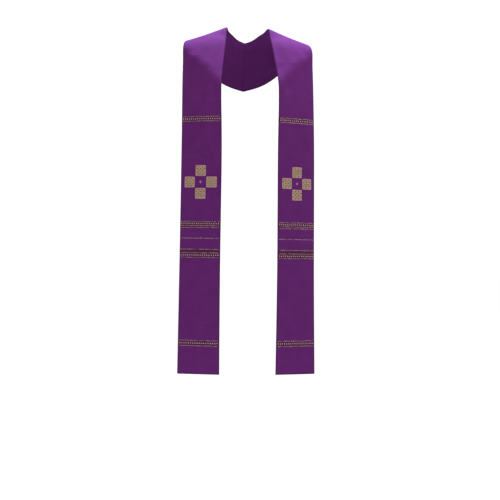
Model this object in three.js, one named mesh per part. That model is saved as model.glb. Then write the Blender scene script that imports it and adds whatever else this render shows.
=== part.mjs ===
// Clerical stole, hanging as worn: two long bands of lined cloth that go over the shoulders
// and meet in a seam at the centre of the back of the neck.
// Millimetres. +Z up, +X to the wearer's left, the front of the garment towards -Y.
// The origin is on the neck edge at the nape, where the stole rests on its wearer.
import * as THREE from "three";

// Driving dimensions.
const WALL = 2.4;                 // face cloth, interlining and back cloth together
const GAP = 0.3;                  // between the halves at the seam, and under what lies on them
const BAND_WIDTH = 144;           // straight part of each half, edge to edge
const WOVEN_THICKNESS = 0.7;      // thread standing proud in the woven bands
const PATCH_THICKNESS = 0.9;      // embroidered squares and the small lozenge
const EDGE_MARGIN = 3.5;          // plain cloth between a woven band's end and the edge

const SQUARE = 36.5;              // side of each square of the cross
const CROSS_REACH = 38.5;         // from the middle of the cross to the middle of a square
const CROSS_STATION = 647;        // height of the cross above the hem, along the cloth
const LOZENGE = 9;                // small lozenge in the open middle, corner to corner

const STRAIGHT_END = 900;         // up to here the half hangs nearly straight
const STRAIGHT_STEP = 30;         // rows of facets below and above that height
const CURVED_STEP = 12;
const COLUMNS = 8;                // facets across a half

// Sections across one half, from hem to nape. station is the length along the cloth from the
// hem, inner is the edge nearer the neck, outer the far edge, and crown how far the middle of
// the section bows away from the straight line between them.
const SECTIONS = [
  { name: "hem",            station: 0,    inner: [95, -233, -1156],  outer: [235, -198, -1156],  crown: 2 },
  { name: "knee",           station: 300,  inner: [97, -229, -856],   outer: [232, -180, -856],   crown: 3 },
  { name: "hip",            station: 600,  inner: [96, -221, -556],   outer: [230, -170, -556],   crown: 4 },
  { name: "chest",          station: 856,  inner: [97, -208, -300],   outer: [228.5, -152, -300], crown: 5 },
  { name: "breast",         station: 956,  inner: [98, -195, -201],   outer: [228, -136, -201],   crown: 7 },
  { name: "collarbone",     station: 1036, inner: [93, -173, -124],   outer: [227, -124, -123],   crown: 9 },
  { name: "shoulder_front", station: 1104, inner: [84.5, -145, -62],  outer: [225, -113, -61],    crown: 10 },
  { name: "shoulder_slope", station: 1150, inner: [78.5, -123, -17],  outer: [221, -96, -25],     crown: 8 },
  { name: "shoulder_tip",   station: 1177, inner: [75.5, -107, 9],    outer: [213, -72, -14],     crown: 8 },
  { name: "neck_side",      station: 1206, inner: [72.5, -90, 36],    outer: [196, -45, -26],     crown: 8 },
  { name: "shoulder_back",  station: 1244, inner: [64, -53, 33],      outer: [170, -13, -59],     crown: 11 },
  { name: "blade",          station: 1284, inner: [45, -21, 22],      outer: [134, 17, -100],     crown: 8 },
  { name: "back",           station: 1314, inner: [25, -6, 9],        outer: [72, 34, -144],      crown: 6 },
  { name: "nape",           station: 1342, inner: [0, 1, 0],          outer: [0, 38, -168],       crown: 4 },
];
const NAPE_STATION = SECTIONS.at(-1).station;

// Bands woven across each half: the stations of each one's lower and upper edge.
const WOVEN_BANDS = [
  { name: "band_hem",        low: 94,    high: 115 },
  { name: "band_waist_low",  low: 391,   high: 422 },
  { name: "line_waist",      low: 456,   high: 459 },
  { name: "band_waist_high", low: 492,   high: 516 },
  { name: "band_chest",      low: 852.5, high: 871 },
];

// The four squares of the cross: places of their middles, in steps of CROSS_REACH.
const CROSS_SQUARES = [
  { name: "cross_top",    across: 0,  along: 1 },
  { name: "cross_bottom", across: 0,  along: -1 },
  { name: "cross_inner",  across: -1, along: 0 },
  { name: "cross_outer",  across: 1,  along: 0 },
];

const clothMaterial = new THREE.MeshStandardMaterial({ color: 0x5a2166, roughness: 0.8, metalness: 0 });
const wovenMaterial = new THREE.MeshStandardMaterial({ color: 0x7a4b62, roughness: 0.7, metalness: 0 });
const patchMaterial = new THREE.MeshStandardMaterial({ color: 0x7d5c50, roughness: 0.6, metalness: 0 });

// Natural cubic spline through (knots, values): a smooth curve with no bend at its two ends.
function naturalSpline(knots, values) {
  const last = knots.length - 1;
  const bends = new Array(last + 1).fill(0);
  const ratios = new Array(last + 1).fill(0);
  for (let i = 1; i < last; i++) {
    const before = knots[i] - knots[i - 1];
    const after = knots[i + 1] - knots[i];
    const turn = (values[i + 1] - values[i]) / after - (values[i] - values[i - 1]) / before;
    const pivot = 2 * (before + after) - before * ratios[i - 1];
    ratios[i] = after / pivot;
    bends[i] = (6 * turn - before * bends[i - 1]) / pivot;
  }
  for (let i = last - 1; i > 0; i--) bends[i] -= ratios[i] * bends[i + 1];
  return (station) => {
    let i = 0;
    while (i < last - 1 && station > knots[i + 1]) i++;
    const span = knots[i + 1] - knots[i];
    const a = (knots[i + 1] - station) / span;
    const b = 1 - a;
    const bend = (a ** 3 - a) * bends[i] + (b ** 3 - b) * bends[i + 1];
    return a * values[i] + b * values[i + 1] + (bend * span ** 2) / 6;
  };
}

// Curves along the cloth for the two edges and the crown.
const stations = SECTIONS.map((section) => section.station);
const edgeCurve = (edge) => {
  const [x, y, z] = [0, 1, 2].map((axis) => naturalSpline(stations, SECTIONS.map((section) => section[edge][axis])));
  return (station) => new THREE.Vector3(x(station), y(station), z(station));
};
const innerEdge = edgeCurve("inner");
const outerEdge = edgeCurve("outer");
const crownHeight = naturalSpline(stations, SECTIONS.map((section) => section.crown));

// The direction away from the wearer at the middle of a section.
function sectionOutward(station) {
  const reach = 2;
  const low = Math.max(station - reach, 0);
  const high = Math.min(station + reach, NAPE_STATION);
  const middle = (at) => innerEdge(at).add(outerEdge(at)).multiplyScalar(0.5);
  const along = middle(high).sub(middle(low));
  const across = outerEdge(station).sub(innerEdge(station));
  return across.cross(along).normalize();
}

// Middle of the cloth's wall at a station and a breadth, 0 at the inner edge and 1 at the outer.
function clothMiddle(station, breadth) {
  const bow = 4 * crownHeight(station) * breadth * (1 - breadth);
  return innerEdge(station).lerp(outerEdge(station), breadth).addScaledVector(sectionOutward(station), bow);
}

// The direction away from the wearer at a point of the cloth, square to its surface.
function clothOutward(station, breadth) {
  const reach = 1.5;
  const low = Math.max(station - reach, 0);
  const high = Math.min(station + reach, NAPE_STATION);
  const along = clothMiddle(high, breadth).sub(clothMiddle(low, breadth));
  const across = clothMiddle(station, Math.min(breadth + 0.01, 1)).sub(clothMiddle(station, Math.max(breadth - 0.01, 0)));
  return across.cross(along).normalize();
}

// A point lifted from the middle of the wall. The halves stop half a gap short of the seam.
function clothPoint(side, station, breadth, lift) {
  const point = clothMiddle(station, breadth).addScaledVector(clothOutward(station, breadth), lift);
  const atSeam = station > NAPE_STATION - 1e-6;
  point.x = side * (atSeam ? GAP / 2 : Math.max(point.x, GAP / 2));
  return point;
}

// A closed sheet between two lifts. place(row, column) gives the station and breadth of each
// grid point, with rows running up the cloth and columns from the inner edge outwards.
function sheetGeometry(side, rows, columns, place, underLift, overLift) {
  const positions = [];
  const pointsPerFace = (rows + 1) * (columns + 1);
  for (const lift of [underLift, overLift]) {
    for (let row = 0; row <= rows; row++) {
      for (let column = 0; column <= columns; column++) {
        const { station, breadth } = place(row, column);
        positions.push(...clothPoint(side, station, breadth, lift).toArray());
      }
    }
  }
  const under = (row, column) => row * (columns + 1) + column;
  const over = (row, column) => pointsPerFace + under(row, column);
  const indices = [];
  const quad = (a, b, c, d) => {
    const corners = side > 0 ? [a, b, c, d] : [d, c, b, a];
    indices.push(corners[0], corners[1], corners[2], corners[0], corners[2], corners[3]);
  };
  for (let row = 0; row < rows; row++) {
    for (let column = 0; column < columns; column++) {
      quad(over(row, column), over(row, column + 1), over(row + 1, column + 1), over(row + 1, column));
      quad(under(row, column), under(row + 1, column), under(row + 1, column + 1), under(row, column + 1));
    }
    quad(under(row, 0), over(row, 0), over(row + 1, 0), under(row + 1, 0));
    quad(over(row, columns), under(row, columns), under(row + 1, columns), over(row + 1, columns));
  }
  for (let column = 0; column < columns; column++) {
    quad(under(0, column), under(0, column + 1), over(0, column + 1), over(0, column));
    quad(over(rows, column), over(rows, column + 1), under(rows, column + 1), under(rows, column));
  }
  const geometry = new THREE.BufferGeometry();
  geometry.setAttribute("position", new THREE.Float32BufferAttribute(positions, 3));
  geometry.setIndex(indices);
  geometry.computeVertexNormals();
  return geometry;
}

// One half: a single length of cloth from the hem, over the shoulder, to the seam at the nape.
function halfGeometry(side) {
  const straightRows = STRAIGHT_END / STRAIGHT_STEP;
  const curvedRows = Math.round((NAPE_STATION - STRAIGHT_END) / CURVED_STEP);
  const place = (row, column) => ({
    station: row <= straightRows
      ? row * STRAIGHT_STEP
      : STRAIGHT_END + ((row - straightRows) / curvedRows) * (NAPE_STATION - STRAIGHT_END),
    breadth: column / COLUMNS,
  });
  return sheetGeometry(side, straightRows + curvedRows, COLUMNS, place, -WALL / 2, WALL / 2);
}

// A woven band: straight across the half, with its columns over the half's own.
function wovenBandGeometry(side, band) {
  const margin = EDGE_MARGIN / BAND_WIDTH;
  const place = (row, column) => ({
    station: row === 0 ? band.low : band.high,
    breadth: Math.min(Math.max(column / COLUMNS, margin), 1 - margin),
  });
  const underLift = WALL / 2 + GAP;
  return sheetGeometry(side, 1, COLUMNS, place, underLift, underLift + WOVEN_THICKNESS);
}

// An embroidered patch about a point of the cross. outline(a, b) turns a grid from -1 to 1 into
// millimetres across and along the cloth from the middle of the cross.
function patchGeometry(side, outline) {
  const cells = 2;
  const place = (row, column) => {
    const { across, along } = outline((2 * column) / cells - 1, (2 * row) / cells - 1);
    return { station: CROSS_STATION + along, breadth: 0.5 + across / BAND_WIDTH };
  };
  const underLift = WALL / 2 + GAP;
  return sheetGeometry(side, cells, cells, place, underLift, underLift + PATCH_THICKNESS);
}

const stole = new THREE.Group();
for (const { side, hand } of [{ side: 1, hand: "left" }, { side: -1, hand: "right" }]) {
  const add = (name, geometry, material) => {
    const mesh = new THREE.Mesh(geometry, material);
    mesh.name = `${hand}_${name}`;
    stole.add(mesh);
  };
  add("half", halfGeometry(side), clothMaterial);
  for (const band of WOVEN_BANDS) add(band.name, wovenBandGeometry(side, band), wovenMaterial);
  for (const square of CROSS_SQUARES) {
    const outline = (a, b) => ({
      across: square.across * CROSS_REACH + (a * SQUARE) / 2,
      along: square.along * CROSS_REACH + (b * SQUARE) / 2,
    });
    add(square.name, patchGeometry(side, outline), patchMaterial);
  }
  const lozenge = (a, b) => ({ across: ((a - b) * LOZENGE) / 4, along: ((a + b) * LOZENGE) / 4 });
  add("cross_lozenge", patchGeometry(side, lozenge), patchMaterial);
}

export default stole;
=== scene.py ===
"""A clerical stole, hanging as it is worn: two long bands of purple cloth that go over the
shoulders and meet in a seam at the nape, with woven bands and a cross of four embroidered
squares on each front. Metres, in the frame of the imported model."""
import math

import bpy
import numpy as np
from mathutils import Matrix


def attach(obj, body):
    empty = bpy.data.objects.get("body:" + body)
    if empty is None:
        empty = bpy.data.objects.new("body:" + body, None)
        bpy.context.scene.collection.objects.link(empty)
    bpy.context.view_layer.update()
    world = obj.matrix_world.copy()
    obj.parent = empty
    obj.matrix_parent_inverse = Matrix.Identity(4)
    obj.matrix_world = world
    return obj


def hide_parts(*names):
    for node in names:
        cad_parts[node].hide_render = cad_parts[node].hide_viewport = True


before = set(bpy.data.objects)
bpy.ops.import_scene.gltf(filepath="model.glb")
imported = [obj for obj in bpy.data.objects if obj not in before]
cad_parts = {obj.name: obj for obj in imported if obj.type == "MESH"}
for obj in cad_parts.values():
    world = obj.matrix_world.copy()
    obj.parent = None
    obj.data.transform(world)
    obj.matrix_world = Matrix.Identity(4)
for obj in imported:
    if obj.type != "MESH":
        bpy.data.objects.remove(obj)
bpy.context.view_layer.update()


# ---------------------------------------------------------------------------------------------
# The two halves: each is one length of wool-blend cloth, lined with its own cloth, its edges
# folded in and pressed. It runs from the hem, over the shoulder, to the seam at the nape.

WALL = 0.0024                   # face cloth, interlining and back cloth together
BAND_WIDTH = 0.144              # straight part of each half, edge to edge
SIDES = {"left": 1.0, "right": -1.0}

# Sections across one half: station along the cloth from the hem, inner edge x y z,
# outer edge x y z, and how far the middle bows out.
SECTIONS = np.array([
    (0.000, 0.0950, -0.2330, -1.1560, 0.2350, -0.1980, -1.1560, 0.002),    # hem
    (0.300, 0.0970, -0.2290, -0.8560, 0.2320, -0.1800, -0.8560, 0.003),    # knee
    (0.600, 0.0960, -0.2210, -0.5560, 0.2300, -0.1700, -0.5560, 0.004),    # hip
    (0.856, 0.0970, -0.2080, -0.3000, 0.2285, -0.1520, -0.3000, 0.005),    # chest
    (0.956, 0.0980, -0.1950, -0.2010, 0.2280, -0.1360, -0.2010, 0.007),    # breast
    (1.036, 0.0930, -0.1730, -0.1240, 0.2270, -0.1240, -0.1230, 0.009),    # collarbone
    (1.104, 0.0845, -0.1450, -0.0620, 0.2250, -0.1130, -0.0610, 0.010),    # front of shoulder
    (1.150, 0.0785, -0.1230, -0.0170, 0.2210, -0.0960, -0.0250, 0.008),    # shoulder slope
    (1.177, 0.0755, -0.1070, 0.0090, 0.2130, -0.0720, -0.0140, 0.008),     # shoulder tip
    (1.206, 0.0725, -0.0900, 0.0360, 0.1960, -0.0450, -0.0260, 0.008),     # side of the neck
    (1.244, 0.0640, -0.0530, 0.0330, 0.1700, -0.0130, -0.0590, 0.011),     # back of shoulder
    (1.284, 0.0450, -0.0210, 0.0220, 0.1340, 0.0170, -0.1000, 0.008),      # shoulder blade
    (1.314, 0.0250, -0.0060, 0.0090, 0.0720, 0.0340, -0.1440, 0.006),      # back
    (1.342, 0.0000, 0.0010, 0.0000, 0.0000, 0.0380, -0.1680, 0.004),       # nape
])
KNOTS = SECTIONS[:, 0]
NAPE = KNOTS[-1]


def spline_bends(knots, values):
    """Second derivatives of the natural cubic spline through the rows of values: zero at both
    ends, and inside them the solution of the usual three-term equations."""
    spans = np.diff(knots)
    slopes = np.diff(values, axis=0) / spans[:, None]
    system = np.eye(len(knots))
    turns = np.zeros_like(values)
    inside = np.arange(1, len(knots) - 1)
    system[inside, inside - 1] = spans[:-1]
    system[inside, inside] = 2 * (spans[:-1] + spans[1:])
    system[inside, inside + 1] = spans[1:]
    turns[1:-1] = 6 * np.diff(slopes, axis=0)
    return np.linalg.solve(system, turns)


SECTION_BENDS = spline_bends(KNOTS, SECTIONS[:, 1:])


def section_at(station):
    """Inner edge, outer edge and crown at any stations: a cubic between the two sections on
    either side, a*v0 + b*v1 + ((a^3-a)*m0 + (b^3-b)*m1) * span^2 / 6."""
    station = np.clip(station, 0.0, NAPE)
    low = np.clip(np.searchsorted(KNOTS, station, side="right") - 1, 0, len(KNOTS) - 2)
    span = (KNOTS[low + 1] - KNOTS[low])[..., None]
    b = (station - KNOTS[low])[..., None] / span
    a = 1 - b
    values = SECTIONS[:, 1:]
    curve = a * values[low] + b * values[low + 1]
    curve += ((a**3 - a) * SECTION_BENDS[low] + (b**3 - b) * SECTION_BENDS[low + 1]) * span**2 / 6
    return curve[..., 0:3], curve[..., 3:6], curve[..., 6:7]


def unit(vectors):
    """Each vector divided by its length."""
    return vectors / np.linalg.norm(vectors, axis=-1, keepdims=True)


def cloth_form(station, breadth):
    """Middle of the wall: the straight line from the inner to the outer edge at that station,
    bowed away from the wearer by 4 * crown * b * (1 - b)."""
    reach = 0.002
    inner, outer, crown = section_at(station)
    middle_high = sum(section_at(np.minimum(station + reach, NAPE))[:2]) / 2
    middle_low = sum(section_at(np.maximum(station - reach, 0.0))[:2]) / 2
    outward = unit(np.cross(outer - inner, middle_high - middle_low))
    b = breadth[..., None]
    return inner * (1 - b) + outer * b + 4 * crown * b * (1 - b) * outward


# Soft creases, listed: where each starts and ends (breadth, station), how wide its slope is and
# how high it stands, negative for a trough. The first is the break over the collarbone, where
# the cloth turns from the chest to the shoulder. The two halves differ, as hanging cloth does.
CREASES = {
    "left": (
        (-0.60, 0.915, 1.60, 1.200, 0.026, 0.0045),
        (0.18, 1.160, 0.42, 1.060, 0.016, 0.0022),
        (0.55, 1.175, 0.80, 1.100, 0.014, -0.0016),
        (0.10, 1.060, 0.30, 0.960, 0.018, -0.0015),
        (0.72, 1.050, 0.78, 0.700, 0.020, 0.0012),
        (0.36, 0.780, 0.30, 0.420, 0.022, -0.0012),
        (0.66, 0.420, 0.60, 0.080, 0.022, 0.0014),
        (0.22, 0.330, 0.26, 0.020, 0.018, -0.0012),
        (0.15, 1.262, 0.70, 1.272, 0.012, 0.0020),
        (0.22, 1.300, 0.80, 1.300, 0.014, -0.0018),
    ),
    "right": (
        (-0.60, 0.908, 1.60, 1.206, 0.026, 0.0047),
        (0.14, 1.165, 0.36, 1.050, 0.015, 0.0020),
        (0.60, 1.170, 0.78, 1.095, 0.015, -0.0018),
        (0.12, 1.040, 0.24, 0.930, 0.016, -0.0013),
        (0.62, 1.000, 0.68, 0.720, 0.022, -0.0012),
        (0.30, 0.640, 0.34, 0.300, 0.024, 0.0013),
        (0.76, 0.520, 0.70, 0.180, 0.018, -0.0012),
        (0.44, 0.260, 0.40, 0.015, 0.020, 0.0013),
        (0.18, 1.268, 0.66, 1.262, 0.013, 0.0018),
        (0.30, 1.305, 0.76, 1.296, 0.013, -0.0020),
    ),
}


def crease_height(hand, station, breadth):
    """Sum of the half's creases: each is height * exp(-(distance / width)^2) from its line,
    fading to nothing about its ends, over a quarter of its length."""
    height = np.zeros(np.broadcast(station, breadth).shape)
    quarters = 4
    for b0, s0, b1, s1, width, peak in CREASES[hand]:
        run = np.array([(b1 - b0) * BAND_WIDTH, s1 - s0])
        across = (breadth - b0) * BAND_WIDTH
        along = station - s0
        share = (across * run[0] + along * run[1]) / (run @ run)
        distance = (across * run[1] - along * run[0]) / np.sqrt(run @ run)
        fade = np.clip(np.minimum(share, 1 - share) * quarters + 0.5, 0, 1)
        height += peak * np.exp(-(distance / width) ** 2) * fade**2 * (3 - 2 * fade)
    return height


def cloth_surface(hand, station, breadth):
    """The middle of the wall with its creases, and the direction away from the wearer there.
    The right half is the left one's mirror image, apart from its creases."""
    station, breadth = np.broadcast_arrays(station, breadth)
    step = 0.0015
    high, low = np.minimum(station + step, NAPE), np.maximum(station - step, 0.0)
    wide, narrow = np.minimum(breadth + 0.01, 1.0), np.maximum(breadth - 0.01, 0.0)
    along = cloth_form(high, breadth) - cloth_form(low, breadth)
    outward = unit(np.cross(cloth_form(station, wide) - cloth_form(station, narrow), along))
    point = cloth_form(station, breadth) + crease_height(hand, station, breadth)[..., None] * outward
    mirror = np.array([SIDES[hand], 1.0, 1.0])
    return point * mirror, outward * mirror


def grid_quads(index, flip):
    """Four corners of each cell of a grid of vertex numbers, wound the other way if flip."""
    quads = np.stack([index[:-1, :-1], index[:-1, 1:], index[1:, 1:], index[1:, :-1]], axis=-1)
    quads = quads.reshape(-1, 4)
    return quads[:, ::-1] if flip else quads


def make_piece(name, points, faces, uv=None, tone=None):
    """One mesh object from arrays: points (n, 3), faces as a list of (m, corners) arrays, uv and
    tone per point. Smooth shaded."""
    mesh = bpy.data.meshes.new(name)
    sizes = np.concatenate([np.full(len(block), block.shape[1]) for block in faces])
    corners = np.concatenate([block.ravel() for block in faces]).astype(np.int32)
    mesh.vertices.add(len(points))
    mesh.vertices.foreach_set("co", np.ascontiguousarray(points, dtype=np.float32).ravel())
    mesh.loops.add(len(corners))
    mesh.loops.foreach_set("vertex_index", corners)
    mesh.polygons.add(len(sizes))
    starts = np.concatenate([[0], np.cumsum(sizes)[:-1]]).astype(np.int32)
    mesh.polygons.foreach_set("loop_start", starts)
    mesh.polygons.foreach_set("use_smooth", np.ones(len(sizes), dtype=bool))
    if uv is not None:
        layer = mesh.uv_layers.new(name="cloth_metres")
        layer.data.foreach_set("uv", uv[corners].astype(np.float32).ravel())
    if tone is not None:
        attribute = mesh.attributes.new("tone", "FLOAT", "POINT")
        attribute.data.foreach_set("value", tone.astype(np.float32))
    mesh.update(calc_edges=True)
    mesh.validate()
    piece = bpy.data.objects.new(name, mesh)
    bpy.context.scene.collection.objects.link(piece)
    return piece


EDGE_STEPS = np.array([0.0, 0.0002, 0.0007, 0.0014, 0.0028, 0.0048])
EDGE_RADIUS = WALL / 2
EDGE_TURN = 0.0016              # how far a pressed edge leans back towards the wearer
EDGE_TURN_WIDTH = 0.006
MESH_PITCH = 0.0036             # side of one face of the open cloth


def eased(length, pitch):
    """Places from 0 to length: close together at both ends for the rounded edges, and about
    pitch apart between them."""
    count = int(round((length - 2 * EDGE_STEPS[-1]) / pitch))
    inside = np.linspace(EDGE_STEPS[-1], length - EDGE_STEPS[-1], count + 1)
    return np.concatenate([EDGE_STEPS[:-1], inside, length - EDGE_STEPS[-2::-1]])


def roundness(distance, radius):
    """Share of the full height at a distance from an edge with a quarter-round: from 0 to 1."""
    inside = 1 - np.clip(distance / radius, 0, 1)
    return np.sqrt(1 - inside**2)


def make_half(hand):
    """A closed shell: a face and a back on one grid, that meet at the rim. The wall's half
    height is a quarter-round near every edge, and the edges lean back a little."""
    stations = eased(NAPE, MESH_PITCH)
    across = eased(BAND_WIDTH, MESH_PITCH)
    station, breadth = np.meshgrid(stations, across / BAND_WIDTH, indexing="ij")
    side_distance = np.minimum(breadth, 1 - breadth) * BAND_WIDTH
    end_distance = np.minimum(station, NAPE - station)
    half_height = EDGE_RADIUS * roundness(side_distance, EDGE_RADIUS) * roundness(end_distance, EDGE_RADIUS)
    lean = EDGE_TURN * (1 - np.clip(side_distance / EDGE_TURN_WIDTH, 0, 1)) ** 2
    lean += EDGE_TURN * (1 - np.clip(station / EDGE_TURN_WIDTH, 0, 1)) ** 2
    middle, outward = cloth_surface(hand, station, breadth)
    middle = middle - lean[..., None] * outward
    face = middle + half_height[..., None] * outward
    back = middle - half_height[..., None] * outward
    for sheet in (face, back):
        sheet[-1, :, 0] = 0.0
    rows, columns = station.shape
    face_index = np.arange(rows * columns).reshape(rows, columns)
    back_index = face_index.copy()
    back_index[1:-1, 1:-1] = rows * columns + np.arange((rows - 2) * (columns - 2)).reshape(rows - 2, -1)
    uv = np.stack([(breadth - 0.5) * BAND_WIDTH, station], axis=-1)
    points = np.concatenate([face.reshape(-1, 3), back[1:-1, 1:-1].reshape(-1, 3)])
    uvs = np.concatenate([uv.reshape(-1, 2), uv[1:-1, 1:-1].reshape(-1, 2)])
    mirrored = SIDES[hand] < 0
    faces = [grid_quads(face_index, mirrored), grid_quads(back_index, not mirrored)]
    return make_piece(f"{hand}_half_cloth", points, faces, uvs)


def linear(hex_colour):
    """An sRGB hex colour as linear red, green, blue and alpha: c / 12.92 below 0.04045, and
    ((c + 0.055) / 1.055) ^ 2.4 above."""
    channels = [int(hex_colour[i:i + 2], 16) / 255 for i in (1, 3, 5)]
    return tuple(c / 12.92 if c <= 0.04045 else ((c + 0.055) / 1.055) ** 2.4 for c in channels) + (1.0,)


def add_node(tree, kind, settings=None, **inputs):
    """Adds a node. settings are its properties. An input is a value, or a socket to link."""
    node = tree.nodes.new(kind)
    for key, value in (settings or {}).items():
        setattr(node, key, value)
    for key, value in inputs.items():
        socket = node.inputs[int(key[1:]) if key[0] == "i" and key[1:].isdigit() else key.replace("_", " ")]
        if isinstance(value, bpy.types.NodeSocket):
            tree.links.new(value, socket)
        else:
            socket.default_value = value
    return node


def new_material(name):
    """An empty node material, and its Principled shader."""
    material = bpy.data.materials.new(name)
    material.use_nodes = True
    material.node_tree.nodes.clear()
    shader = material.node_tree.nodes.new("ShaderNodeBsdfPrincipled")
    output = material.node_tree.nodes.new("ShaderNodeOutputMaterial")
    material.node_tree.links.new(shader.outputs["BSDF"], output.inputs["Surface"])
    return material, material.node_tree, shader


def stretched_noise(tree, uv, across_scale, along_scale, detail=2.0, roughness=0.5):
    """Noise on the cloth's own metres, with its spots drawn out across or along the band."""
    placed = add_node(tree, "ShaderNodeMapping", i0=uv, Scale=(across_scale, along_scale, 1.0))
    return add_node(tree, "ShaderNodeTexNoise", {"noise_dimensions": "2D"}, Vector=placed.outputs[0],
                    Scale=1.0, Detail=detail, Roughness=roughness).outputs["Fac"]


def sum_of(tree, *terms):
    """Adds up sockets, each times its own number."""
    total = None
    for socket, weight in terms:
        scaled = add_node(tree, "ShaderNodeMath", {"operation": "MULTIPLY"}, i0=socket, i1=weight).outputs[0]
        if total is None:
            total = scaled
        else:
            total = add_node(tree, "ShaderNodeMath", {"operation": "ADD"}, i0=total, i1=scaled).outputs[0]
    return total


# Plain-woven wool blend, piece-dyed purple and steam pressed. It gives nearly matt cloth with
# faint crosswise streaks, where the weft has slubs, and a soft violet sheen on slopes.
cloth, tree, shader = new_material("plain_woven_wool_blend_purple")
uv = add_node(tree, "ShaderNodeUVMap", {"uv_map": "cloth_metres"}).outputs[0]
slub = stretched_noise(tree, uv, 16.0, 420.0, 3.0, 0.6)          # streaks 60 mm by 2.4 mm
fine_slub = stretched_noise(tree, uv, 45.0, 1100.0, 2.0, 0.6)    # 22 mm by 0.9 mm
warp = stretched_noise(tree, uv, 700.0, 14.0, 2.0, 0.5)          # lengthwise, 1.4 mm apart
mottle = stretched_noise(tree, uv, 22.0, 16.0, 3.0, 0.55)        # patches of about 50 mm
shade = sum_of(tree, (slub, 0.42), (fine_slub, 0.22), (warp, 0.12), (mottle, 0.24))
ramp = add_node(tree, "ShaderNodeValToRGB", i0=shade)
ramp.color_ramp.elements[0].position = 0.33
ramp.color_ramp.elements[0].color = linear("#451549")
ramp.color_ramp.elements[1].position = 0.67
ramp.color_ramp.elements[1].color = linear("#521b58")
# Painted shade along both edges and the hem, 3 mm wide: the colour darkens there for the shade where the
# pressed cloth turns away from the light.
across_along = add_node(tree, "ShaderNodeSeparateXYZ", i0=uv)
from_middle = add_node(tree, "ShaderNodeMath", {"operation": "ABSOLUTE"}, i0=across_along.outputs[0])
edge = add_node(tree, "ShaderNodeMapRange", {"interpolation_type": "SMOOTHSTEP"}, i0=from_middle.outputs[0],
                i1=BAND_WIDTH / 2 - 0.0036, i2=BAND_WIDTH / 2 - 0.0012, i3=1.0, i4=0.45)
hem = add_node(tree, "ShaderNodeMapRange", {"interpolation_type": "SMOOTHSTEP"}, i0=across_along.outputs[1],
               i1=0.0012, i2=0.0046, i3=0.45, i4=1.0)
painted_edge_shade = add_node(tree, "ShaderNodeMath", {"operation": "MULTIPLY"}, i0=edge.outputs[0], i1=hem.outputs[0])
# Painted shade: the cloth's colour times the edge and hem mask, down to 0.45 at the rim.
edge_shaded_colour = add_node(tree, "ShaderNodeVectorMath", {"operation": "SCALE"}, i0=ramp.outputs["Color"])
tree.links.new(painted_edge_shade.outputs[0], edge_shaded_colour.inputs["Scale"])
tree.links.new(edge_shaded_colour.outputs[0], shader.inputs["Base Color"])
# Threads 0.45 mm apart are too fine to show, so the weave is drawn at 1.2 mm.
placed = add_node(tree, "ShaderNodeMapping", i0=uv, Scale=(2 * math.pi / 0.0024,) * 2 + (1.0,))
parts = add_node(tree, "ShaderNodeSeparateXYZ", i0=placed.outputs[0])
wave_u = add_node(tree, "ShaderNodeMath", {"operation": "SINE"}, i0=parts.outputs[0])
wave_v = add_node(tree, "ShaderNodeMath", {"operation": "SINE"}, i0=parts.outputs[1])
weave = add_node(tree, "ShaderNodeMath", {"operation": "MULTIPLY"},
                 i0=wave_u.outputs[0], i1=wave_v.outputs[0])
relief = sum_of(tree, (weave.outputs[0], 0.10), (slub, 1.0), (fine_slub, 0.5), (warp, 0.25))
bump = add_node(tree, "ShaderNodeBump", Strength=0.5, Distance=0.0006, Height=relief)
tree.links.new(bump.outputs[0], shader.inputs["Normal"])
shader.inputs["Roughness"].default_value = 0.75
shader.inputs["Specular IOR Level"].default_value = 0.06
shader.inputs["Sheen Weight"].default_value = 0.08
shader.inputs["Sheen Roughness"].default_value = 0.5
shader.inputs["Sheen Tint"].default_value = linear("#9a62d8")

for hand in SIDES:
    half = make_half(hand)
    half.data.materials.append(cloth)
    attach(half, "root")
    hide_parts(f"{hand}_half")


# ---------------------------------------------------------------------------------------------
# The woven bands: extra wefts of dull gold yarn, carried across the cloth in short floats, on a
# ground where the maroon warp shows. Lines are three wefts deep, teeth are little lozenges.

EDGE_MARGIN = 0.0032            # plain cloth between a band's end and the pressed edge
WEFT_PITCH = 0.00092            # one gold weft to the next
FACE = WALL / 2                 # height of the cloth's face above the middle of its wall

# A row per band: lower and upper edge of its maroon ground, the middles of its lines and the
# middles of its rows of teeth, as stations.
WOVEN_BANDS = {
    "band_hem": ((0.0940, 0.1150), (0.0958, 0.1132), (0.1045,)),
    "band_waist_low": ((0.3910, 0.4220), (0.3928, 0.4083, 0.4202), (0.4005,)),
    "line_waist": ((0.4560, 0.4590), (0.4575,), ()),
    "band_waist_high": ((0.4920, 0.5160), (0.4938, 0.5000, 0.5140), (0.5070,)),
    "band_chest": ((0.8525, 0.8710), (0.8542, 0.8692), (0.8617,)),
}
BAND_REACH = BAND_WIDTH / 2 - EDGE_MARGIN


def lay_on_cloth(hand, across, station, height):
    """Points at a distance across from the half's middle line, a station and a height above the
    face of the cloth."""
    middle, outward = cloth_surface(hand, station, 0.5 + across / BAND_WIDTH)
    return middle + (FACE + height)[..., None] * outward


# One float of yarn: three rings of six points and a point at each end, as shares of its half
# length, half width and half height.
FLOAT_RINGS = np.array([-0.72, 0.0, 0.72])
FLOAT_GIRTH = np.array([0.78, 1.0, 0.78])
ring_angle = np.arange(6) * math.pi / 3
float_shape = np.concatenate([
    [[-1.0, 0.0, 0.0]],
    np.stack([
        np.repeat(FLOAT_RINGS, 6),
        np.outer(FLOAT_GIRTH, np.cos(ring_angle)).ravel(),
        np.outer(FLOAT_GIRTH, np.sin(ring_angle)).ravel(),
    ], axis=-1),
    [[1.0, 0.0, 0.0]],
])
next_angle = np.roll(np.arange(6), -1)
float_tips = np.concatenate([
    np.stack([np.zeros(6, int), 1 + next_angle, 1 + np.arange(6)], axis=-1),
    np.stack([np.full(6, 19), 13 + np.arange(6), 13 + next_angle], axis=-1),
])
float_sides = np.concatenate([
    np.stack([at + np.arange(6), at + next_angle, at + 6 + next_angle, at + 6 + np.arange(6)], axis=-1)
    for at in (1, 7)
])


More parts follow.
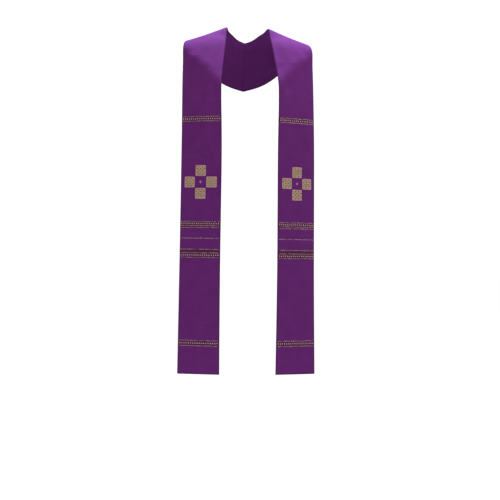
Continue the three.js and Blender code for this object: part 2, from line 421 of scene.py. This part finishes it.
def yarn_floats(hand, middles, half_lengths, half_width, half_height, turns, heights, tones):
    """Every float in one go: the shape stretched to its size, turned in the plane of the cloth,
    moved to its middle (across, station) and laid on the face. Returns points, faces, uv, tone."""
    count = len(middles)
    length = half_lengths[:, None] * float_shape[None, :, 0]
    width = half_width * float_shape[None, :, 1] + np.zeros((count, 1))
    cos, sin = np.cos(turns)[:, None], np.sin(turns)[:, None]
    across = middles[:, None, 0] + length * cos - width * sin
    station = middles[:, None, 1] + length * sin + width * cos
    height = heights[:, None] + half_height * float_shape[None, :, 2]
    points = lay_on_cloth(hand, across, station, height).reshape(-1, 3)
    first = (np.arange(count) * len(float_shape))[:, None, None]
    flip = -1 if SIDES[hand] < 0 else 1
    faces = [(first + tips[None]).reshape(-1, tips.shape[1])[:, ::flip] for tips in (float_tips, float_sides)]
    uvs = np.stack([across, station], axis=-1).reshape(-1, 2)
    return points, faces, uvs, np.repeat(tones, len(float_shape))


def joined(blocks):
    """Several (points, faces, uv, tone) blocks as one."""
    starts = np.cumsum([0] + [len(block[0]) for block in blocks[:-1]])
    faces = [part + start for block, start in zip(blocks, starts) for part in block[1]]
    return (np.concatenate([block[0] for block in blocks]), faces,
            np.concatenate([block[2] for block in blocks]), np.concatenate([block[3] for block in blocks]))


def ground_strip(hand, low, high):
    """The maroon ground of a band: a closed strip 0.25 mm proud of the cloth's face, thinning to
    nothing at its rim, where it turns into the cloth."""
    across_line = np.concatenate([[-BAND_REACH], np.linspace(-BAND_REACH + 0.0006, BAND_REACH - 0.0006, 49),
                                  [BAND_REACH]])
    station_line = np.concatenate([[low], np.linspace(low + 0.0005, high - 0.0005, 9), [high]])
    station, across = np.meshgrid(station_line, across_line, indexing="ij")
    inside = np.ones(station.shape)
    inside[[0, -1], :] = 0
    inside[:, [0, -1]] = 0
    top = lay_on_cloth(hand, across, station, 0.00035 * inside - 0.0001)
    under = lay_on_cloth(hand, across, station, -0.0005 * inside - 0.0001)
    rows, columns = station.shape
    top_index = np.arange(rows * columns).reshape(rows, columns)
    under_index = top_index.copy()
    under_index[1:-1, 1:-1] = rows * columns + np.arange((rows - 2) * (columns - 2)).reshape(rows - 2, -1)
    uv = np.stack([across, station], axis=-1)
    mirrored = SIDES[hand] < 0
    return (np.concatenate([top.reshape(-1, 3), under[1:-1, 1:-1].reshape(-1, 3)]),
            [grid_quads(top_index, mirrored), grid_quads(under_index, not mirrored)],
            np.concatenate([uv.reshape(-1, 2), uv[1:-1, 1:-1].reshape(-1, 2)]),
            np.zeros(rows * columns + (rows - 2) * (columns - 2)))


def line_floats(hand, station, rng):
    """A line: three wefts, each a row of floats 4.6 mm long that start a third further along.
    One float in seven is hidden under the maroon ends."""
    pitch = 0.0056
    blocks = []
    for row in range(3):
        shift = pitch * row / 3
        middles_across = np.arange(-BAND_REACH + pitch / 2 + shift, BAND_REACH - pitch / 3, pitch)
        middles_across = middles_across[rng.random(len(middles_across)) > 1 / 7]
        count = len(middles_across)
        middles = np.stack([middles_across, np.full(count, station + (row - 1) * WEFT_PITCH)], axis=-1)
        middles += rng.normal(0, 0.00008, middles.shape)
        half_lengths = 0.0023 * rng.uniform(0.88, 1.05, count)
        blocks.append(yarn_floats(hand, middles, half_lengths, 0.00052, 0.00038, rng.normal(0, 0.02, count),
                                  np.full(count, 0.0003), rng.uniform(0.0, 0.6, count)))
    return blocks


def tooth_floats(hand, station, rng):
    """A row of teeth 7.6 mm apart: each is a lozenge of five wefts, long in the middle one."""
    pitch = 0.0076
    count = int(2 * BAND_REACH / pitch)
    centres = (np.arange(count) - (count - 1) / 2) * pitch
    blocks = []
    for row, half_length in zip(range(-2, 3), (0.0008, 0.0013, 0.0017, 0.0013, 0.0008)):
        middles = np.stack([centres, np.full(count, station + row * WEFT_PITCH * 1.1)], axis=-1)
        middles += rng.normal(0, 0.0001, middles.shape)
        blocks.append(yarn_floats(hand, middles, half_length * rng.uniform(0.85, 1.15, count),
                                  0.00055, 0.00042,
                                  rng.normal(0, 0.04, count), np.full(count, 0.00035),
                                  rng.uniform(0.7, 1.0, count)))
    return blocks


# Dull gold yarn: a gold strip lapped round a mauve core, so it is light where it turns to the
# light and mauve between. Tone 0 is the core's colour and 1 the strip's.
yarn, tree, shader = new_material("lapped_gold_yarn")
uv = add_node(tree, "ShaderNodeUVMap", {"uv_map": "cloth_metres"}).outputs[0]
tone = add_node(tree, "ShaderNodeAttribute", {"attribute_name": "tone"}).outputs["Fac"]
lap = stretched_noise(tree, uv, 900.0, 900.0, 2.0, 0.6)
mixed = sum_of(tree, (tone, 0.75), (lap, 0.45))
ramp = add_node(tree, "ShaderNodeValToRGB", i0=mixed)
ramp.color_ramp.elements[0].position = 0.25
ramp.color_ramp.elements[0].color = linear("#5c3448")
ramp.color_ramp.elements[1].position = 0.95
ramp.color_ramp.elements[1].color = linear("#c49cae")
tree.links.new(ramp.outputs["Color"], shader.inputs["Base Color"])
bump = add_node(tree, "ShaderNodeBump", Strength=0.5, Distance=0.0002, Height=lap)
tree.links.new(bump.outputs[0], shader.inputs["Normal"])
shader.inputs["Roughness"].default_value = 0.45
shader.inputs["Metallic"].default_value = 0.15
shader.inputs["Sheen Weight"].default_value = 0.1

# Maroon warp ground: the same wool, where the maroon ends come up. Fine ribs across the cloth.
ground, tree, shader = new_material("maroon_warp_ground")
uv = add_node(tree, "ShaderNodeUVMap", {"uv_map": "cloth_metres"}).outputs[0]
rib = stretched_noise(tree, uv, 60.0, 1000.0, 2.0, 0.6)
fleck = stretched_noise(tree, uv, 420.0, 420.0, 2.0, 0.6)
ramp = add_node(tree, "ShaderNodeValToRGB", i0=sum_of(tree, (rib, 0.6), (fleck, 0.4)))
ramp.color_ramp.elements[0].position = 0.35
ramp.color_ramp.elements[0].color = linear("#33102a")
ramp.color_ramp.elements[1].position = 0.65
ramp.color_ramp.elements[1].color = linear("#4a1c36")
tree.links.new(ramp.outputs["Color"], shader.inputs["Base Color"])
bump = add_node(tree, "ShaderNodeBump", Strength=0.5, Distance=0.0003, Height=rib)
tree.links.new(bump.outputs[0], shader.inputs["Normal"])
shader.inputs["Roughness"].default_value = 0.78
shader.inputs["Specular IOR Level"].default_value = 0.08

pieces_on = {"left": [], "right": []}


def finish_piece(piece, hand, node):
    """Notes a piece that lies on a half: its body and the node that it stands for."""
    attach(piece, "root")
    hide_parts(node)
    pieces_on[hand].append(piece)


def paint_blocks(piece, first_faces, first, second):
    """Gives the first faces one material and the rest another."""
    piece.data.materials.append(first)
    piece.data.materials.append(second)
    slots = np.ones(len(piece.data.polygons), dtype=np.int32)
    slots[:first_faces] = 0
    piece.data.polygons.foreach_set("material_index", slots)


for hand_number, hand in enumerate(SIDES):
    for band_number, (band, (edges, lines, teeth)) in enumerate(WOVEN_BANDS.items()):
        rng = np.random.default_rng(100 * hand_number + band_number)
        strip = ground_strip(hand, *edges)
        blocks = [strip]
        for station in lines:
            blocks += line_floats(hand, station, rng)
        for station in teeth:
            blocks += tooth_floats(hand, station, rng)
        piece = make_piece(f"{hand}_{band}_threads", *joined(blocks))
        paint_blocks(piece, sum(len(part) for part in strip[1]), ground, yarn)
        finish_piece(piece, hand, f"{hand}_{band}")


# ---------------------------------------------------------------------------------------------
# The cross: four squares of satin stitch, gold and brown in a trellis, each edged with a pale
# corded line, round an open middle with one small lozenge.

SQUARE = 0.0365
CROSS_REACH = 0.0385            # from the middle of the cross to the middle of a square
CROSS_STATION = 0.647
CORNER = 0.0032                 # radius of a square's corners
CELLS = 11                      # little blocks of stitches along a square's side
CROSS_SQUARES = {"cross_top": (0, 1), "cross_bottom": (0, -1), "cross_inner": (-1, 0), "cross_outer": (1, 0)}


def pad(hand, middle, half_side, height):
    """The padding under a square: a disc of rings whose outline is a square with round
    corners, |x|^6 + |y|^6 = 1, domed a little and closed underneath."""
    rings, spokes = 7, 48
    angle = np.arange(spokes) * 2 * math.pi / spokes
    outline = 1 / (np.abs(np.cos(angle)) ** 6 + np.abs(np.sin(angle)) ** 6) ** (1 / 6)
    share = np.array([0.0, 0.3, 0.6, 0.85, 0.95, 0.99, 1.0])
    rise = np.array([1.0, 1.0, 0.98, 0.92, 0.75, 0.4, 0.0])
    across = middle[0] + half_side * np.outer(share[1:], outline * np.cos(angle))
    station = middle[1] + half_side * np.outer(share[1:], outline * np.sin(angle))
    lift = np.repeat(rise[1:, None], spokes, axis=1) * height
    across = np.concatenate([[middle[0]], across.ravel(), across[:-1].ravel(), [middle[0]]])
    station = np.concatenate([[middle[1]], station.ravel(), station[:-1].ravel(), [middle[1]]])
    lift = np.concatenate([[height], lift.ravel(), np.full((rings - 2) * spokes, -0.0004), [-0.0004]])
    points = lay_on_cloth(hand, across, station, lift)
    step = np.arange(spokes)
    following = np.roll(step, -1)
    flip = -1 if SIDES[hand] < 0 else 1
    top = [1 + ring * spokes for ring in range(rings - 1)]
    under = [1 + (rings - 1 + ring) * spokes for ring in range(rings - 2)] + [top[-1]]
    last = len(points) - 1
    fans = [np.stack([np.zeros(spokes, int), top[0] + step, top[0] + following], axis=-1),
            np.stack([np.full(spokes, last), under[0] + following, under[0] + step], axis=-1)]
    quads = [np.stack([a + step, b + step, b + following, a + following], axis=-1)
             for a, b in zip(top, top[1:])]
    quads += [np.stack([a + following, b + following, b + step, a + step], axis=-1)
              for a, b in zip(under, under[1:])]
    faces = [block[:, ::flip] for block in fans + quads]
    return points, faces, np.stack([across, station], axis=-1), np.full(len(points), 0.3)


def satin_cells(hand, middle, rng):
    """The filling: a grid of cells, each four stitches side by side, turned a quarter from one
    cell to the next. Cells on the diagonals of a trellis four cells wide are gold, the middles
    of its diamonds are brown, and the rest are between."""
    pitch = (SQUARE - 0.0036) / CELLS
    row, column = np.meshgrid(np.arange(CELLS), np.arange(CELLS), indexing="ij")
    row, column = row.ravel(), column.ravel()
    mid = (CELLS - 1) / 2
    rise, fall = (row + column - 2 * mid) % 4, (row - column) % 4
    cell_tone = np.where((rise == 0) | (fall == 0), 0.95, np.where(rise % 2 == 0, 0.0, 0.3))
    upright = (row + column) % 2 == 0
    centre = np.stack([(column - mid) * pitch, (row - mid) * pitch], axis=-1)
    stitches = 4
    offset = (np.arange(stitches) - (stitches - 1) / 2) * pitch / stitches
    turn = np.where(upright, math.pi / 2, 0.0)
    sideways = np.stack([-np.sin(turn), np.cos(turn)], axis=-1)
    middles = centre[:, None, :] + offset[None, :, None] * sideways[:, None, :] + np.asarray(middle)
    middles = middles.reshape(-1, 2) + rng.normal(0, 0.00008, (len(row) * stitches, 2))
    count = len(middles)
    tones = np.repeat(cell_tone, stitches) + rng.uniform(-0.2, 0.2, count)
    return yarn_floats(hand, middles, 0.5 * pitch * rng.uniform(0.92, 1.1, count), pitch / stitches * 0.56,
                       0.0004, np.repeat(turn, stitches) + rng.normal(0, 0.06, count),
                       0.00075 + rng.uniform(0, 0.0001, count), np.clip(tones, 0, 1))


def corded_line(hand, middle, half_side, radius, rng):
    """The outline: slanting turns of a two-ply cord, evenly along a square with round corners,
    whose straight runs are joined by quarter circles."""
    straight = 2 * (half_side - radius)
    quarter = radius * math.pi / 2
    length = 4 * (straight + quarter)
    count = int(length / 0.0013)
    place = np.arange(count) * length / count
    side = np.floor(place / (straight + quarter))
    rest = place - side * (straight + quarter)
    bend = np.clip(rest - straight, 0, None) / radius
    run = np.minimum(rest, straight) - straight / 2
    x = run + radius * np.sin(bend)
    y = -half_side + radius * (1 - np.cos(bend))
    heading = side * math.pi / 2
    across = middle[0] + x * np.cos(heading) - y * np.sin(heading)
    station = middle[1] + x * np.sin(heading) + y * np.cos(heading)
    return yarn_floats(hand, np.stack([across, station], axis=-1), np.full(count, 0.0012), 0.0005, 0.0005,
                       heading + bend + 0.7, np.full(count, 0.0007), rng.uniform(0.4, 1.0, count))


# Rayon and gold embroidery thread in satin stitch: brown and old gold, with a silky glint along
# each stitch. Tone 0 is the brown and 1 the gold.
satin, tree, shader = new_material("gold_brown_embroidery_thread")
uv = add_node(tree, "ShaderNodeUVMap", {"uv_map": "cloth_metres"}).outputs[0]
tone = add_node(tree, "ShaderNodeAttribute", {"attribute_name": "tone"}).outputs["Fac"]
strand = stretched_noise(tree, uv, 1300.0, 1300.0, 2.0, 0.6)
ramp = add_node(tree, "ShaderNodeValToRGB", i0=sum_of(tree, (tone, 0.85), (strand, 0.3)))
ramp.color_ramp.elements[0].position = 0.15
ramp.color_ramp.elements[0].color = linear("#38201a")
ramp.color_ramp.elements[1].position = 1.0
ramp.color_ramp.elements[1].color = linear("#c9a98a")
tree.links.new(ramp.outputs["Color"], shader.inputs["Base Color"])
bump = add_node(tree, "ShaderNodeBump", Strength=0.5, Distance=0.0002, Height=strand)
tree.links.new(bump.outputs[0], shader.inputs["Normal"])
shader.inputs["Roughness"].default_value = 0.42
shader.inputs["Specular IOR Level"].default_value = 0.25
shader.inputs["Metallic"].default_value = 0.1

# The outline's cord: mauve silk with a gold strand, paler than the filling.
outline_cord, tree, shader = new_material("mauve_gold_cord")
tone = add_node(tree, "ShaderNodeAttribute", {"attribute_name": "tone"}).outputs["Fac"]
ramp = add_node(tree, "ShaderNodeValToRGB", i0=tone)
ramp.color_ramp.elements[0].position = 0.3
ramp.color_ramp.elements[0].color = linear("#8a6070")
ramp.color_ramp.elements[1].position = 1.0
ramp.color_ramp.elements[1].color = linear("#b58f90")
tree.links.new(ramp.outputs["Color"], shader.inputs["Base Color"])
shader.inputs["Roughness"].default_value = 0.5

for hand_number, hand in enumerate(SIDES):
    for square_number, (square, (step_across, step_along)) in enumerate(CROSS_SQUARES.items()):
        rng = np.random.default_rng(1000 + 10 * hand_number + square_number)
        middle = (step_across * CROSS_REACH, CROSS_STATION + step_along * CROSS_REACH)
        filling = [pad(hand, middle, SQUARE / 2 - 0.0006, 0.0006), satin_cells(hand, middle, rng)]
        edging = corded_line(hand, middle, SQUARE / 2 - 0.0008, CORNER, rng)
        piece = make_piece(f"{hand}_{square}_stitches", *joined(filling + [edging]))
        paint_blocks(piece, sum(len(part) for block in filling for part in block[1]), satin, outline_cord)
        finish_piece(piece, hand, f"{hand}_{square}")

    # The lozenge: rows of stitches side by side, long in the middle of it.
    rng = np.random.default_rng(2000 + hand_number)
    reach = 0.0049
    rows = np.linspace(-reach, reach, 11)
    middles = np.stack([np.zeros(len(rows)), CROSS_STATION + rows], axis=-1)
    lengths = np.maximum(reach - np.abs(rows), 0.0005)
    block = yarn_floats(hand, middles, lengths, 0.00055, 0.0005, rng.normal(0, 0.03, len(rows)),
                        np.full(len(rows), 0.0003), rng.uniform(0.3, 0.8, len(rows)))
    piece = make_piece(f"{hand}_cross_lozenge_stitches", *block)
    piece.data.materials.append(outline_cord)
    finish_piece(piece, hand, f"{hand}_cross_lozenge")


# ---------------------------------------------------------------------------------------------
# The setting: a plain pale floor at the wearer's feet, a white surround, soft light from above
# and in front, and the camera a little to the left of the stole's own middle.

FLOOR_HEIGHT = -1.56
bpy.ops.mesh.primitive_plane_add(size=60, location=(0, 0, FLOOR_HEIGHT))
floor = bpy.context.object
floor.name = "studio_floor"
paper, tree, shader = new_material("white_studio_floor")
shader.inputs["Base Color"].default_value = (0.93, 0.93, 0.93, 1.0)
shader.inputs["Roughness"].default_value = 0.9
floor.data.materials.append(paper)

scene = bpy.context.scene
scene.view_settings.view_transform = "Standard"
world = bpy.data.worlds.new("white_surround")
world.use_nodes = True
world.node_tree.nodes["Background"].inputs["Color"].default_value = (1.0, 1.0, 1.0, 1.0)
world.node_tree.nodes["Background"].inputs["Strength"].default_value = 1.1
scene.world = world


def soft_light(name, place, aim, size, watts, colour=(1.0, 1.0, 1.0)):
    """A square area light that faces a point."""
    lamp = bpy.data.lights.new(name, "AREA")
    lamp.shape = "SQUARE"
    lamp.size = size
    lamp.energy = watts
    lamp.color = colour
    holder = bpy.data.objects.new(name, lamp)
    holder.location = place
    scene.collection.objects.link(holder)
    direction = np.array(aim) - np.array(place)
    pitch = math.atan2(math.hypot(direction[0], direction[1]), -direction[2])
    holder.rotation_euler = (pitch, 0, math.atan2(direction[1], direction[0]) - math.pi / 2)
    return holder


soft_light("overhead", (0.10, 0.05, 1.45), (0.0, -0.1, 0.0), 0.35, 85, (0.92, 0.95, 1.30))
soft_light("key", (0.75, -0.85, 0.65), (0.1, -0.15, -0.2), 0.5, 6)

VIEW_DISTANCE = 3.9
VIEW_WIDTH = 1.70               # what the frame takes in at that distance
AZIMUTH = math.radians(-6.43)
TARGET = np.array([0.0, -0.187, -0.736])
SIDE_STEP = 0.0079
ROLL = math.radians(0.81)
right = np.array([math.cos(AZIMUTH), math.sin(AZIMUTH), 0.0])
away = np.array([math.sin(AZIMUTH), -math.cos(AZIMUTH), 0.0])
lens = bpy.data.cameras.new("camera")
lens.sensor_width = 36.0
lens.lens = lens.sensor_width * VIEW_DISTANCE / VIEW_WIDTH
camera = bpy.data.objects.new("camera", lens)
camera.location = TARGET + away * VIEW_DISTANCE + right * SIDE_STEP
level = Matrix.Rotation(AZIMUTH, 3, "Z") @ Matrix.Rotation(math.pi / 2, 3, "X")
camera.rotation_euler = (level @ Matrix.Rotation(ROLL, 3, "Z")).to_euler()
scene.collection.objects.link(camera)
scene.camera = camera
